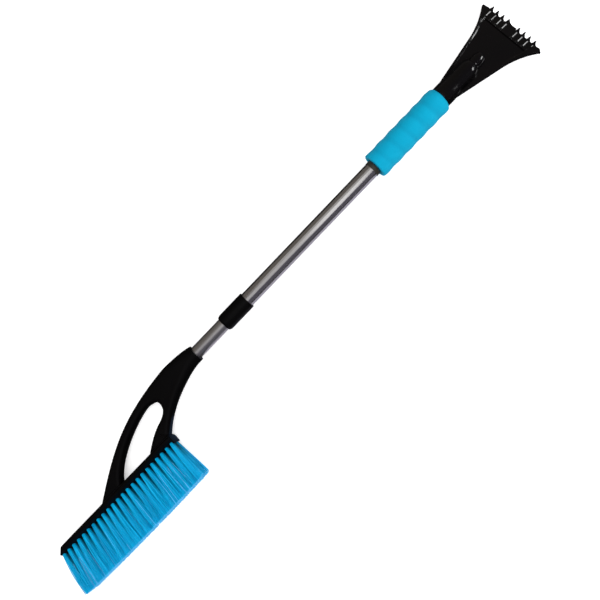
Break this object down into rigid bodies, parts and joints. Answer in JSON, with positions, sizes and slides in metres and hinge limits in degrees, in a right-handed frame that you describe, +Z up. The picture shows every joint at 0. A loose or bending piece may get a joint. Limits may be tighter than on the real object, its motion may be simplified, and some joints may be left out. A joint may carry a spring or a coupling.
{
  "type": "telescopic snow brush with ice scraper",
  "caption": "Telescopic snow brush: toothed ice scraper head and foam grip on one tube, loop-handled bristle brush head on a sliding, twist-locking inner tube.",
  "frame": {"origin": "middle of the footprint, on the surface that the brush lies on", "axes": "+X along the stick towards the scraper, the bristles point towards -Y, +Z up from the surface"},
  "size_m": [0.9832, 0.1836, 0.039],
  "materials": {
    "black_plastic": "moulded gloss black",
    "cyan_foam": "matt closed-cell foam",
    "cyan_nylon": "satin nylon filament",
    "aluminium": "polished, drawn lengthwise",
    "white_nylon": "natural nylon",
    "grey_nylon": "grey nylon",
    "zinc_steel": "zinc plated"
  },
  "bodies": {
    "handle": {"outer_tube": "aluminium", "collar_sleeve": "black_plastic", "collar_bush": "white_nylon", "foam_grip": "cyan_foam", "grip_stop_ring": "black_plastic", "scraper_head": "black_plastic", "scraper_screw": "zinc_steel"},
    "slider": {"centring_ring": "white_nylon"},
    "brush": {"inner_tube": "aluminium", "brush_frame": "black_plastic", "brush_screw": "zinc_steel", "cam_plug": "grey_nylon", "cam_washer": "zinc_steel", "cam_screw": "zinc_steel", "plug_pin": "zinc_steel", "tuft_column_01": "cyan_nylon", "tuft_column_02": "cyan_nylon", "tuft_column_03": "cyan_nylon", "tuft_column_04": "cyan_nylon", "tuft_column_05": "cyan_nylon", "tuft_column_06": "cyan_nylon", "tuft_column_07": "cyan_nylon", "tuft_column_08": "cyan_nylon", "tuft_column_09": "cyan_nylon", "tuft_column_10": "cyan_nylon", "tuft_column_11": "cyan_nylon", "tuft_column_12": "cyan_nylon", "tuft_column_13": "cyan_nylon", "tuft_column_14": "cyan_nylon", "tuft_column_15": "cyan_nylon", "tuft_column_16": "cyan_nylon", "tuft_column_17": "cyan_nylon", "tuft_column_18": "cyan_nylon", "tuft_column_19": "cyan_nylon", "tuft_column_20": "cyan_nylon", "tuft_column_21": "cyan_nylon", "tuft_column_22": "cyan_nylon", "tuft_column_23": "cyan_nylon"},
    "cam": {"cam_ring": "grey_nylon"}
  },
  "joints": [
    {"name": "telescope", "type": "slide", "parent": "handle", "child": "slider", "axis": [-1, 0, 0], "range_m": [-0.05, 0.26]},
    {"name": "twist", "type": "hinge", "parent": "slider", "child": "brush", "pos_m": [0.23857, 0.03885, 0.0195], "axis": [1, 0, 0], "range_deg": [-75, 75]},
    {"name": "cam_turn", "type": "hinge", "parent": "brush", "child": "cam", "pos_m": [0.25657, 0.03885, 0.02], "axis": [1, 0, 0], "range_deg": [-75, 75]}
  ],
  "couplings": [
    {"joint": "cam_turn", "follows": "twist", "ratio": -1}
  ]
}
